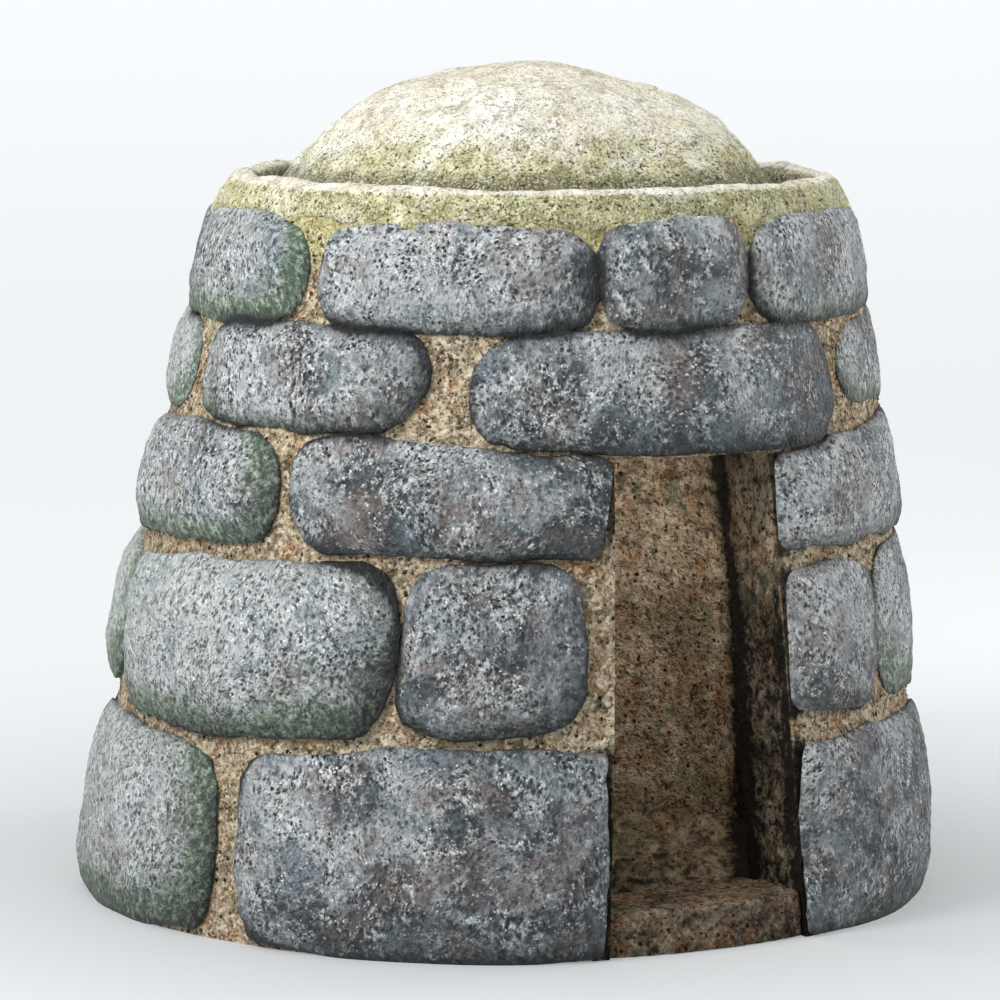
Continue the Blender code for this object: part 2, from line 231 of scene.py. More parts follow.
def buildRelief():
    # what every weathered surface gets: a point moves along its "push" where it has one and otherwise along
    # the normal, by its "give" from 0 to 1
    tree, given = newTree("weatheredRelief", reliefSizes, "NodeSocketFloat")
    position = addNode(tree, "GeometryNodeInputPosition")
    push, give = (addNode(tree, "GeometryNodeInputNamedAttribute", {"Name": name}, data_type=kind).outputs
                  for name, kind in (("push", "FLOAT_VECTOR"), ("give", "FLOAT")))
    direction = addNode(tree, "GeometryNodeSwitch", {
        "Switch": push["Exists"], "True": push["Attribute"],
        "False": addNode(tree, "GeometryNodeInputNormal")}, input_type="VECTOR")
    allowed = addNode(tree, "GeometryNodeSwitch", {
        "Switch": give["Exists"], "False": 1.0, "True": give["Attribute"]}, input_type="FLOAT")
    lumpScale, knobScale, pitScale = (
        addNode(tree, "ShaderNodeMath", {0: 1.0, 1: given[size]}, operation="DIVIDE")
        for size in ("Lump Size", "Knob Size", "Pit Size"))
    height = 0.0
    for scale, high, detail, rough in ((lumpScale, "Lump Height", 2.0, 0.5),
                                       (knobScale, "Knob Height", 3.0, 0.6)):
        noise = addNode(tree, "ShaderNodeTexNoise", {
            "Vector": position, "W": given["Seed"], "Scale": scale, "Detail": detail, "Roughness": rough},
            noise_dimensions="4D")
        centred = addNode(tree, "ShaderNodeMath", {0: noise, 1: 3.2, 2: -1.6}, operation="MULTIPLY_ADD")
        height = addNode(tree, "ShaderNodeMath", {0: centred, 1: given[high], 2: height},
                         operation="MULTIPLY_ADD")
    cells = addNode(tree, "ShaderNodeTexVoronoi", {"Vector": position, "W": given["Seed"], "Scale": pitScale},
                    voronoi_dimensions="4D")
    pits = addNode(tree, "ShaderNodeMapRange", {
        "Value": cells, "From Min": 0.45, "From Max": 0.1, "To Max": given["Pit Depth"]})
    pitted = addNode(tree, "ShaderNodeMath", {0: height, 1: pits}, operation="SUBTRACT")
    amount = addNode(tree, "ShaderNodeMath", {0: pitted, 1: allowed}, operation="MULTIPLY")
    offset = addNode(tree, "ShaderNodeVectorMath", {0: direction, "Scale": amount}, operation="SCALE")
    moved = addNode(tree, "GeometryNodeSetPosition", {"Geometry": given["Geometry"], "Offset": offset})
    smooth = addNode(tree, "GeometryNodeSetShadeSmooth", {"Geometry": moved})
    real = addNode(tree, "GeometryNodeRealizeInstances", {"Geometry": smooth})
    painted = addNode(tree, "GeometryNodeSetMaterial", {"Geometry": real, "Material": given["Material"]})
    addNode(tree, "NodeGroupOutput", {"Geometry": painted})
    return tree


def buildGravel():
    # crushed stone pressed into the bare mortar, as thick as the "bare" attribute says
    sizes = ("Pieces Per Square Metre", "Smallest", "Largest")
    tree, given = newTree("pressedGravel", sizes, "NodeSocketInt")
    bare = addNode(tree, "GeometryNodeInputNamedAttribute", {"Name": "bare"}, data_type="FLOAT")
    density = addNode(tree, "ShaderNodeMath", {0: bare, 1: given["Pieces Per Square Metre"]},
                      operation="MULTIPLY")
    spots = addNode(tree, "GeometryNodeDistributePointsOnFaces", {
        "Mesh": given["Geometry"], "Density": density, "Seed": given["Seed"]})
    chip = addNode(tree, "GeometryNodeMeshIcoSphere", {"Radius": 1.0, "Subdivisions": 1})
    turn, squash = (
        addNode(tree, "FunctionNodeRandomValue", {0: least, 1: most, "Seed": given["Seed"]},
                data_type="FLOAT_VECTOR")
        for least, most in (((0, 0, 0), (6.283, 6.283, 6.283)), ((0.6, 0.6, 0.6), (1.3, 1.0, 1.0))))
    size = addNode(tree, "FunctionNodeRandomValue", {
        2: given["Smallest"], 3: given["Largest"], "Seed": given["Seed"]}, data_type="FLOAT")
    scale = addNode(tree, "ShaderNodeVectorMath", {0: squash, "Scale": size}, operation="SCALE")
    chips = addNode(tree, "GeometryNodeInstanceOnPoints", {
        "Points": spots, "Instance": chip, "Rotation": turn, "Scale": scale})
    real = addNode(tree, "GeometryNodeRealizeInstances", {"Geometry": chips})
    painted = addNode(tree, "GeometryNodeSetMaterial", {"Geometry": real, "Material": given["Material"]})
    both = addNode(tree, "GeometryNodeJoinGeometry", {"Geometry": given["Geometry"]})
    tree.links.new(painted.outputs[0], both.inputs[0])
    addNode(tree, "NodeGroupOutput", {"Geometry": both})
    return tree


reliefTree, gravelTree = buildRelief(), buildGravel()


def weather(made, relief, seed, material):
    return applyTree(made, reliefTree, dict(zip(reliefSizes, relief)), seed, material)


# Materials. Their patterns read Object coordinates, so a size in them is a real one in metres.

def newMaterial(name, roughness, specular, attributes=()):
    made = bpy.data.materials.new(name)
    made.use_nodes = True
    tree, shader = made.node_tree, made.node_tree.nodes["Principled BSDF"]
    for socket, value in (("IOR", 1.5), ("Roughness", roughness), ("Specular IOR Level", specular)):
        shader.inputs[socket].default_value = value
    where = addNode(tree, "ShaderNodeTexCoord").outputs["Object"]
    marks = [addNode(tree, "ShaderNodeAttribute", attribute_name=mark).outputs["Fac"] for mark in attributes]
    return made, tree, shader, where, marks


def paint(tree, shader, colour, layers, relief):
    # each layer is a colour over the ones before it, from nothing where its value is start to its most where
    # it is end; the relief is bump alone, each part of it with its height in metres
    for over, value, start, end, most in layers:
        share = addNode(tree, "ShaderNodeMapRange", {
            "Value": value, "From Min": start, "From Max": end, "To Max": most})
        colour = addNode(tree, "ShaderNodeMix", {0: share, 6: colour, 7: over}, data_type="RGBA")
    tree.links.new(colour.outputs[2], shader.inputs["Base Color"])
    height = 0.0
    for part, metres in relief:
        height = addNode(tree, "ShaderNodeMath", {0: part, 1: metres, 2: height}, operation="MULTIPLY_ADD")
    bump = addNode(tree, "ShaderNodeBump", {"Height": height, "Distance": 1.0, "Strength": 1.0})
    tree.links.new(bump.outputs[0], shader.inputs["Normal"])


def scattered(tree, where, size, rare, edge):
    # round spots in the few cells that chance picks: from 0 at a spot's edge to at most 1 in its middle
    cells = addNode(tree, "ShaderNodeTexVoronoi", {"Vector": where, "Scale": 1 / size})
    chance = addNode(tree, "ShaderNodeSeparateColor", {"Color": cells.outputs["Color"]})
    picked = addNode(tree, "ShaderNodeMapRange", {"Value": chance, "From Min": rare[0], "From Max": rare[1]})
    return addNode(tree, "ShaderNodeMapRange", {
        "Value": cells, "From Min": edge[0], "From Max": edge[1], "To Max": picked})


def hairCracks(tree, seams, wide, thin, share):
    # fine lines where a noise passes its middle value
    side = addNode(tree, "ShaderNodeMath", {0: seams, 1: 0.5}, operation="SUBTRACT")
    gap = addNode(tree, "ShaderNodeMath", {0: side}, operation="ABSOLUTE")
    return addNode(tree, "ShaderNodeMapRange", {
        "Value": gap, "From Min": wide, "From Max": thin, "To Max": share})


def weatheredGranite():
    # field granite, split and left to weather: soft greys clouded with violet-brown and blue-green, rough
    # pale patches of short dark strokes and bright crystals, smoother patches, dark soil at the joints; the
    # pale ridges are painted highlight, the strokes, chips and holes painted shade, and the crystals partly
    # painted glints
    made, tree, shader, where, (soilAndShade, moss, tone, nook) = newMaterial(
        "weatheredGranite", 0.56, 0.5, ("soilAndShade", "moss", "tone", "nook"))
    # a split face is grained one way, and the way wanders: bent coordinates, drawn out along the grain
    bend = addNode(tree, "ShaderNodeTexNoise", {"Vector": where, "Scale": 1 / 0.45, "Detail": 1.0})
    bent = addNode(tree, "ShaderNodeVectorMath", {0: bend.outputs["Color"], 1: (0.16, 0.16, 0.16), 2: where},
                   operation="MULTIPLY_ADD")
    grain = addNode(tree, "ShaderNodeMapping", {
        "Vector": bent, "Rotation": (0.5, 0.7, 0.3), "Scale": (1.0, 1.0, 0.80)})
    cloud, patch, wash, warmth, clump, stroke, chip = (
        addNode(tree, "ShaderNodeTexNoise", {
            "Vector": at, "Scale": 1 / size, "Detail": detail, "Roughness": rough, "Distortion": swirl})
        for at, size, detail, rough, swirl in (
            (where, 0.30, 4.0, 0.5, 0.8), (where, 0.13, 5.0, 0.62, 0.8), (where, 0.045, 3.0, 0.5, 1.2),
            (where, 0.20, 4.0, 0.5, 0.6), (where, 0.07, 4.0, 0.7, 0.0), (grain, 0.021, 4.0, 0.72, 0.2),
            (grain, 0.010, 2.0, 0.6, 0.0)))
    # crystals of 4 mm, drawn at 11, and holes of 8 mm, drawn at 18, both made ragged by the chips
    ragged = addNode(tree, "ShaderNodeMix", {0: 0.012, 4: bent, 5: chip.outputs["Color"]}, data_type="VECTOR")
    crystalsAndGlints = scattered(tree, ragged, 0.011, (0.81, 0.92), (0.46, 0.30))
    holes = scattered(tree, ragged, 0.018, (0.40, 0.70), (0.44, 0.26))
    toned, light, mossEdge, soilAndShadeEdge = (
        addNode(tree, "ShaderNodeMath", {0: value, 1: times, 2: plus}, operation="MULTIPLY_ADD")
        for value, times, plus in ((tone, 0.06, patch), (tone, 0.20, cloud), (moss, 0.75, clump),
                                   (stroke, -0.9, soilAndShade)))
    greysAndLight = addNode(tree, "ShaderNodeMath", {0: wash, 1: 0.5, 2: light}, operation="MULTIPLY_ADD")
    rough = addNode(tree, "ShaderNodeMapRange", {"Value": toned, "From Min": 0.45, "From Max": 0.60})
    # smoother stone shows under half as much of each mark
    marked, chipped = (
        addNode(tree, "ShaderNodeMapRange", {"Value": rough, "To Min": 0.46 * most, "To Max": most})
        for most in (1.0, 0.97))
    ridgeHighlight = addNode(tree, "ShaderNodeMapRange", {"Value": stroke, "From Min": 0.48, "From Max": 0.63})
    # moss is paler on the ridges: painted highlight
    green = addNode(tree, "ShaderNodeMix", {0: ridgeHighlight, 6: "#4a6043", 7: "#9db494"}, data_type="RGBA")
    paint(tree, shader, "#3d4047", (
        ("#bdc1c4", greysAndLight, 0.70, 0.96, 1.0),  # the stone's own greys, lighter where the tone paints light on
        ("#82766f", warmth, 0.50, 0.66, 0.7),
        ("#72848a", warmth, 0.49, 0.34, 0.7),
        ("#e0e3e2", ridgeHighlight, 0.0, 1.0, rough),  # painted highlights on the ridges in the rough patches, painted shade in the dark strokes between them
        ("#2b2d31", stroke, 0.47, 0.36, marked),
        # painted shade, dark in the chips' hollows and black in the holes; the white crystals are partly
        # painted glints
        ("#17191c", chip, 0.44, 0.36, chipped),
        ("#f4f6f6", crystalsAndGlints, 0.0, 1.0, marked),
        ("#101113", holes, 0.0, 1.0, marked),
        ("#cdd6ce", tone, 1.1, 2.5, 0.62),  # the palest stones are bleached all over, the left-hand ones partly as painted light
        (green, mossEdge, 0.62, 1.05, 0.82),  # moss and algae hold on where the stone stays damp
        ("#2d3235", soilAndShadeEdge, -0.33, 0.40, 0.82),  # painted shade, with some soil, darkens a stone towards its joints
        # painted shade: near black right at the joints
        ("#0d0e0f", soilAndShadeEdge, 0.19, 0.55, 0.95),
        ("#101113", nook, 0.12, 0.70, 0.97)),  # and painted shade darkens it most where two stones all but touch
        ((patch, 0.054), (stroke, 0.030), (chip, 0.013), (holes, -0.007)))
    shine = addNode(tree, "ShaderNodeMapRange", {"Value": crystalsAndGlints, "To Min": 0.56, "To Max": 0.30})
    tree.links.new(shine.outputs[0], shader.inputs["Roughness"])
    return made


def mudMortar(name, light, mid, dark, stain, greenish, gravel, sweep=1.0):
    # mud mortar with coarse sand and gravel: matt, blotched, every few grains another colour, cracked as it
    # dried and pocked with black holes where grains fell out; gravel is how much of it shows, 0 to 1, and a
    # sweep under 1 draws the pattern out to one side, as a broom does
    made, tree, shader, where, (nook, sootAndShade, lime) = newMaterial(name, 0.95, 0.12, ("nook", "sootAndShade", "lime"))
    if sweep < 1:
        where = addNode(tree, "ShaderNodeMapping", {
            "Vector": where, "Rotation": (0, 0, -viewTurn), "Scale": (1.0, 1 / sweep, 1.0)},
            vector_type="TEXTURE")
    cloud, lump, crumb, blot, seams = (
        addNode(tree, "ShaderNodeTexNoise", {
            "Vector": where, "Scale": 1 / size, "Detail": detail, "Roughness": rough, "Distortion": swirl})
        for size, detail, rough, swirl in (
            (0.22, 5.0, 0.6, 0.6), (0.045, 5.0, 0.66, 0.4), (0.012, 2.0, 0.7, 0.0), (0.097, 4.0, 0.65, 0.8),
            (0.13, 6.0, 0.6, 0.0)))
    ragged = addNode(tree, "ShaderNodeMix", {0: 0.016, 4: where, 5: crumb.outputs["Color"]},
                     data_type="VECTOR")
    grit = addNode(tree, "ShaderNodeTexVoronoi", {"Vector": ragged, "Scale": 1 / 0.011})  # 6 mm, drawn at 11
    gritTone = addNode(tree, "ShaderNodeSeparateColor", {"Color": grit.outputs["Color"]})
    holes = scattered(tree, ragged, 0.020, (0.50, 0.95), (0.46, 0.22))
    fallen = addNode(tree, "ShaderNodeMapRange", {"Value": crumb, "From Min": 0.41, "From Max": 0.33})
    gone = addNode(tree, "ShaderNodeMath", {0: holes, 1: fallen}, operation="MAXIMUM")
    crackShare = addNode(tree, "ShaderNodeMapRange", {
        "Value": blot, "From Min": 0.47, "From Max": 0.55, "To Max": 0.8})
    cracks = hairCracks(tree, seams, 0.009, 0.002, crackShare)
    limeEdge, sootAndShadeEdge = (
        addNode(tree, "ShaderNodeMath", {0: value, 1: times, 2: plus}, operation="MULTIPLY_ADD")
        for value, times, plus in ((lime, 0.6, lump), (lump, -1.8, sootAndShade)))
    paint(tree, shader, mid, (
        (light, cloud, 0.38, 0.60, 1.0),
        (dark, lump, 0.53, 0.36, 0.80),
        (stain, blot, 0.52, 0.64, 0.65),
        ("#74745a", blot, 0.48, 0.36, greenish),
        ("#bdb87f", limeEdge, 0.62, 0.90, 0.85),  # the roof's clay ran down the top joints
        ("#efe3cb", gritTone, 0.66, 0.95, 0.65 * gravel),
        (dark, gritTone, 0.26, 0.06, 0.6 * gravel),
        ("#20180f", gone, 0.0, 1.0, 1.0),
        ("#1f160d", cracks, 0.0, 1.0, 1.0),
        # painted shade with some soot, mottled by the lumps
        ("#0b0907", sootAndShadeEdge, -0.82, 0.10, 0.97),
        # painted shade where the mortar meets a stone
        ("#19150f", nook, 0.55, 1.0, 0.80)),
        ((lump, 0.040), (grit, -0.0036), (crumb, 0.012), (holes, -0.008)))
    return made


def limewashedClay():
    # a clay and lime render, bleached and open-grained, with yellow-green lichen where water lingers
    made, tree, shader, where, (wetShadeAndHighlight, nook) = newMaterial("limewashedClay", 0.95, 0.3, ("wetShadeAndHighlight", "nook"))
    cloud, blotch, crumb, sand, seams, colony = (
        addNode(tree, "ShaderNodeTexNoise", {
            "Vector": where, "Scale": 1 / size, "Detail": detail, "Roughness": rough, "Distortion": swirl})
        for size, detail, rough, swirl in (
            (0.30, 4.0, 0.5, 0.5), (0.07, 6.0, 0.68, 0.5), (0.017, 4.0, 0.7, 0.0),
            (0.009, 2.0, 0.6, 0.0),  # 3 mm sand, drawn at 9
            (0.16, 6.0, 0.6, 0.0), (0.20, 6.0, 0.65, 0.6)))
    spread, dampAndShadeEdge, siltAndShade = (
        addNode(tree, "ShaderNodeMath", {0: value, 1: times, 2: plus}, operation="MULTIPLY_ADD")
        for value, times, plus in ((colony, 4.0, wetShadeAndHighlight), (blotch, -1.4, wetShadeAndHighlight), (blotch, -0.9, nook)))
    lichenTone = addNode(tree, "ShaderNodeMapRange", {"Value": blotch, "From Min": 0.36, "From Max": 0.62})
    lichen = addNode(tree, "ShaderNodeMix", {0: lichenTone, 6: "#96935a", 7: "#dad6a4"}, data_type="RGBA")
    crackShare = addNode(tree, "ShaderNodeMapRange", {
        "Value": cloud, "From Min": 0.46, "From Max": 0.56, "To Max": 0.75})
    cracks = hairCracks(tree, seams, 0.007, 0.0, crackShare)
    # pits are washed clean on the open dome and full of black silt where it stays wet
    pitDark = addNode(tree, "ShaderNodeMapRange", {"Value": wetShadeAndHighlight, "From Max": 0.6, "To Min": 0.60})
    crumbGone, sandGone = (
        addNode(tree, "ShaderNodeMapRange", {
            "Value": grain, "From Min": start, "From Max": end, "To Max": pitDark})
        for grain, start, end in ((crumb, 0.455, 0.36), (sand, 0.42, 0.33)))
    gone = addNode(tree, "ShaderNodeMath", {0: crumbGone, 1: sandGone}, operation="MAXIMUM")
    paint(tree, shader, "#e3dac3", (
        ("#f6f3e7", cloud, 0.38, 0.62, 1.0),
        ("#a3966f", blotch, 0.54, 0.36, 0.60),
        (lichen, spread, 2.25, 3.10, 0.88),
        # damp and painted shade, darkest round the dome's foot; none on the rim's crest, which stays pale as
        # painted highlight
        ("#7d7a50", dampAndShadeEdge, 0.15, 0.75, 0.42),
        # painted shade, with some silt, in the gutter
        ("#5b583b", siltAndShade, -0.30, 0.45, 0.66),
        ("#4a4530", cracks, 0.0, 1.0, 1.0),
        ("#fbfaf4", sand, 0.55, 0.67, 0.64),
        ("#3c3722", gone, 0.0, 1.0, 1.0)),
        ((blotch, 0.025), (cracks, -0.0024), (crumb, 0.016), (sand, 0.0054)))
    return made


granite = weatheredGranite()
outerMortar = mudMortar("gravelMudMortar", "#d2c3a6", "#ab987c", "#5c4b35", "#ab764a", 0.30, 1.0)
innerMortar = mudMortar("smokedMudPlaster", "#c2b097", "#87755f", "#352c22", "#936a42", 0.75, 0.25)
dirtyMortar = mudMortar("trampledMudMortar", "#94826e", "#675749", "#2b241d", "#94683f", 0.30, 0.3)
sweptEarth = mudMortar("beatenSweptEarth", "#a5957c", "#77674f", "#352c22", "#936a42", 0.60, 0.2, 0.30)
clay = limewashedClay()
print("materials made")


# Boulders

boulders = {
    "voxel": 0.0095,
    "backVoxel": 0.0115,
    "softening": 26,
    "tailKept": 0.03,  # how much of the hidden tail is modelled
    "crown": 0.62,  # how far the middle of a face stands out past its ends, as a share of its swell
    "faceShare": 0.94,  # keeps the relief inside the solid's box
    "shadeAndSoilWidth": 0.095,  # how far painted shade and soil darken a face in from its outline, metres
    "spread": 0.010,  # the belly hangs over the joint by this much
    "wander": 0.010,  # how unevenly the outline runs
    "cornerRounding": 0.10,
    "nookReach": 0.07,  # how far away a neighbour is looked for, metres
    "nookFall": 0.025,
    "relief": (0.21, 0.014, 0.055, 0.0055, 0.05, 0.004),  # in the order of reliefSizes
    # the end of a stone that is cut square beside the doorway: 1 for the end further round the wall
    "dressed": {"base_stone_2": 1, "base_stone_3": -1, "second_course_stone_4": -1, "third_course_stone_2": 1,
                "third_course_stone_3": -1},
    "mossyEnds": ("top_course_stone_1", "third_course_stone_1", "base_stone_1"),
    # how far a stone's left, right, bottom and top reach past its solid; how pale it is, the left-hand stones
    # partly as painted light; how mossy; and how much painted shade and soil it gets
    "stones": {
        "base_stone_1": ((0, 0, 0, 0.004), 1.5, 0.9, 0.8),
        "base_stone_2": ((0.030, 0, 0, 0.004), 0.25, 0.1, 1.0),
        "base_stone_3": ((0, 0, 0, 0.005), 0.1, 0.2, 1.0),
        "second_course_stone_1": ((0, 0, 0, 0), 2.4, 1.0, 0.3),
        "second_course_stone_2": ((0, 0.008, 0, 0), 1.4, 0.75, 1.0),
        "second_course_stone_3": ((0.025, 0.003, 0, 0), 0.2, 0.1, 1.0),
        "second_course_stone_4": ((0.018, 0.016, 0.004, 0.008), 0.3, 0.2, 1.0),
        "second_course_stone_5": ((0.014, 0, 0, 0), 0.7, 0.9, 1.0),
        "third_course_stone_1": ((0, 0.006, 0, 0), 1.1, 1.0, 0.8),
        "third_course_stone_2": ((0.02, 0, 0, 0.012), 0.05, 0.15, 1.0),
        "third_course_stone_3": ((0.036, 0, 0, 0.02), 0.7, 0.25, 1.0),
        "fourth_course_stone_1": ((0, 0, 0, 0), 2.0, 0.9, 0.3),
        "fourth_course_stone_2": ((0.004, 0.012, 0.02, 0.02), 0.75, 0.45, 1.0),
        "fourth_course_stone_4": ((0, 0, 0, 0), 0.5, 0.9, 1.0),
        "lintel_stone": ((0.012, 0, 0.034, 0.014), 0.2, 0.1, 1.0),
        "top_course_stone_1": ((0, 0.012, 0.026, 0.008), 0.9, 1.0, 0.6),
        "top_course_stone_2": ((0.005, 0.02, 0.026, 0.004), 0.6, 0.15, 1.0),
        "top_course_stone_3": ((0.02, 0.016, 0.026, 0.02), 0.2, 0.2, 1.0),
        "top_course_stone_4": ((0.003, 0, 0.022, 0.006), 0.5, 0.55, 1.0),
    },
    "otherStones": ((0.010, 0.010, 0.010, 0.008), 0.5, 0.5, 1.0),
}

boulderNodes = sorted(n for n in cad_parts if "stone" in n)


def wander(points, size, seed):
    # a smooth uneven value in about -1 to 1, from a few crossing waves
    chance = np.random.RandomState(seed)
    total = np.zeros(len(points))
    for _ in range(6):
        direction = chance.normal(size=3)
        direction *= chance.uniform(0.7, 1.6) / (size * np.linalg.norm(direction))
        total += np.sin(2 * math.pi * (points @ direction + chance.uniform()))
    return total / 3


def spanned(flat):
    # the lowest and highest corner of an unrolled piece, and how far across it each point is, from -1 to 1
    low, high = flat.min(axis=0), flat.max(axis=0)
    return low, high, (flat[:, :2] - (low[:2] + high[:2]) / 2) / ((high[:2] - low[:2]) / 2)


def closeBack(mesh, limit):
    # what is hidden below a limit, the back of an unrolled boulder or the floor's underside, becomes one face
    body = bmesh.new()
    body.from_mesh(mesh)
    hidden = [f for f in body.faces if all(v.co.z < limit for v in f.verts)]
    bmesh.ops.delete(body, geom=hidden, context="FACES")
    bmesh.ops.holes_fill(body, edges=[e for e in body.edges if e.is_boundary], sides=0)
    bmesh.ops.recalc_face_normals(body, faces=body.faces)
    body.to_mesh(mesh)
    body.free()


def stainBoulder(node, mesh, seed, middle, swell):
    _, paleness, mossiness, shadeAndSoilAmount = boulders["stones"].get(node, boulders["otherStones"])
    onTop, dressed = node.startswith("top"), boulders["dressed"].get(node, 0)
    points = readPoints(mesh)
    flat = unroll(points, middle)
    rise = unit(flat[:, 2] / swell)
    low, high, across = spanned(flat)
    # moss sits on the lower half and along the ends
    lower = unit(-across[:, 1] * 0.9 + 0.25)
    ends = unit(np.abs(across[:, 0]) * 2.2 - 1.2) * (1.0 if node in boulders["mossyEnds"] else 0.45)
    rim = unit(1.25 - rise * 1.1)
    moss = mossiness * np.clip(np.maximum(lower, ends), 0.12, 1) * rim
    # painted shade with some soil along the outline, reaching further in at the foot and on the shaded side
    size = (high[:2] - low[:2]) / 2
    kept = np.where(across[:, 0] * dressed > 0, 0.45, 1.0)  # a dressed end gets less painted shade and soil
    out = (np.abs(across[:, 0] * kept) ** 4 + np.abs(across[:, 1]) ** 4) ** 0.25
    inward = unit(1 - out) * size.min()
    shadedSide = unit(0.42 + 0.45 * across[:, 0] * kept - 0.55 * across[:, 1])
    width = boulders["shadeAndSoilWidth"] * (0.18 + shadedSide) * (1 + 0.5 * wander(points, 0.22, seed + 300))
    soilAndShade = unit(1 - inward / width) ** 1.4
    footShade = 0.95 * shadedSide * unit((out - 0.35) / 0.65) ** 1.4  # painted shade: the long soft turn towards the foot
    under = 0.0 if onTop else 0.55 + 0.25 * wander(points, 0.35, seed + 600)
    footShade = np.maximum(footShade, under * unit(1 - (1 - across[:, 1]) * size[1] / 0.055))  # painted shade below its neighbours
    # painted shade on the steep flanks, more on the shaded side
    flank = unit(1 - rise / 0.38) * (0.62 + 0.38 * shadedSide) * np.maximum(kept, 0.3)
    if onTop:
        flank *= np.clip(1.0 - across[:, 1] * 1.6, 0.15, 1)  # less painted shade on the top course's upper flank
        soilAndShade *= unit(1.3 - across[:, 1] * 1.6)
    writeValue(mesh, "soilAndShade", np.maximum(np.maximum(soilAndShade, footShade), flank) * shadeAndSoilAmount)
    writeValue(mesh, "moss", unit(moss * 1.7))
    # painted light: a stone is paler to its left and top, and the top course paler along its top, partly lime
    # from the roof and partly painted light
    tone = paleness - 0.02 + 0.175 * across[:, 1] - 0.30 * across[:, 0]
    if onTop:
        tone += 0.35 * unit(across[:, 1] * 0.7 + 0.25)
    writeValue(mesh, "tone", tone)


def makeBoulder(node, seed):
    mesh = mergedCopy(node)
    points = readPoints(mesh)
    turn, _ = polar(points)
    middle = math.atan2(np.sin(turn).mean(), np.cos(turn).mean())
    flat = unroll(points, middle)
    swell = flat[:, 2].max()
    flat[:, 2] = np.maximum(flat[:, 2], -boulders["tailKept"])
    writePoints(mesh, flat)
    left, right, bottom, top = boulders["stones"].get(node, boulders["otherStones"])[0]
    if node.startswith("base"):
        bottom = 0  # it stands on the ground
    wanted = flat.min(axis=0) - (left, bottom, 0), flat.max(axis=0) + (right, top, 0)
    atBack = abs(middle + viewTurn) > math.radians(100)
    mesh = remeshed(mesh, boulders["backVoxel" if atBack else "voxel"], boulders["softening"])
    flat = readPoints(mesh)
    _, _, across = spanned(flat)
    # softening drew the outline in, so it goes back out to the solid's, and the belly past that
    belly = unit(flat[:, 2] / swell) * unit(1.7 - flat[:, 2] / swell)
    half = (wanted[1][:2] - wanted[0][:2])[None, :] / 2 + (belly * boulders["spread"])[:, None]
    dressed = boulders["dressed"].get(node, 0)
    corner = (across[:, 0] * across[:, 1]) ** 2 * np.where(across[:, 0] * dressed > 0, 0.3, 1)
    rounding = 1 - boulders["cornerRounding"] * corner
    flat[:, :2] = (wanted[0][:2] + wanted[1][:2]) / 2 + across * half * rounding[:, None]
    for way in (0, 1):
        wave = boulders["wander"] * wander(flat * (1, 1, 0.2), 0.45, seed * 2 + way)
        flat[:, way] += wave * np.clip(np.abs(across[:, way]), 0.2, 1)
    crown = unit(1 - np.abs(across[:, 0]) ** 3) * unit(1 - np.abs(across[:, 1]) ** 3)
    front = unit(flat[:, 2] / swell)
    flat[:, 2] += boulders["crown"] * swell * (crown - 0.93) * front ** 2
    flat[:, 2] = np.where(flat[:, 2] > 0, flat[:, 2] * boulders["faceShare"], flat[:, 2])
    writePoints(mesh, flat)
    closeBack(mesh, -boulders["tailKept"] + 0.008)
    flat = readPoints(mesh)
    writePoints(mesh, rollUp(flat, middle))
    made = addObject("weathered_" + node, mesh)
    give = unit((flat[:, 2] + boulders["tailKept"]) / 0.03)
    if node.startswith("base"):
        give *= unit(flat[:, 1] / 0.04)
    writeValue(mesh, "give", give)
    weather(made, boulders["relief"], 3.7 * seed, granite)
    mesh = made.data
    points = readPoints(mesh)
    points[:, 2] = np.maximum(points[:, 2], 0.0)
    writePoints(mesh, points)
    stainBoulder(node, mesh, seed, middle, swell)
    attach(made, "root")
    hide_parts(node)
    return made


boulderPieces = [makeBoulder(node, index + 1) for index, node in enumerate(boulderNodes)]


def treeOf(pieces):
    points, faces, start = [], [], 0
    for piece in pieces:
        points.append(readPoints(piece.data))
        faces += [tuple(start + i for i in p.vertices) for p in piece.data.polygons]
        start += len(piece.data.vertices)
    return BVHTree.FromPolygons(np.concatenate(points).tolist(), faces)


def markJoints():
    # each boulder's "nook" says how near its neighbours are, from 0 to 1 where they touch; the granite's
    # painted shade in the joints comes from it
    reach = boulders["nookReach"]
    trees = [treeOf([piece]) for piece in boulderPieces]
    clouds = [readPoints(piece.data) for piece in boulderPieces]
    lows, highs = [c.min(axis=0) - reach for c in clouds], [c.max(axis=0) + reach for c in clouds]
    for index, piece in enumerate(boulderPieces):
        near = [j for j in range(len(trees)) if j != index
                and (lows[j] < highs[index] - reach).all() and (highs[j] > lows[index] + reach).all()]
        nook = np.zeros(len(clouds[index]))
        for j in near:
            inside = ((clouds[index] > lows[j]) & (clouds[index] < highs[j])).all(axis=1)
            for k in np.flatnonzero(inside):
                gap = trees[j].find_nearest(Vector(clouds[index][k]), reach)[3]
                if gap is not None:
                    nook[k] = max(nook[k], math.exp(-gap / boulders["nookFall"]))
        writeValue(piece.data, "nook", nook)


markJoints()
print("boulders:", len(boulderPieces), "pieces,", sum(len(p.data.polygons) for p in boulderPieces), "faces")


# Mortared wall

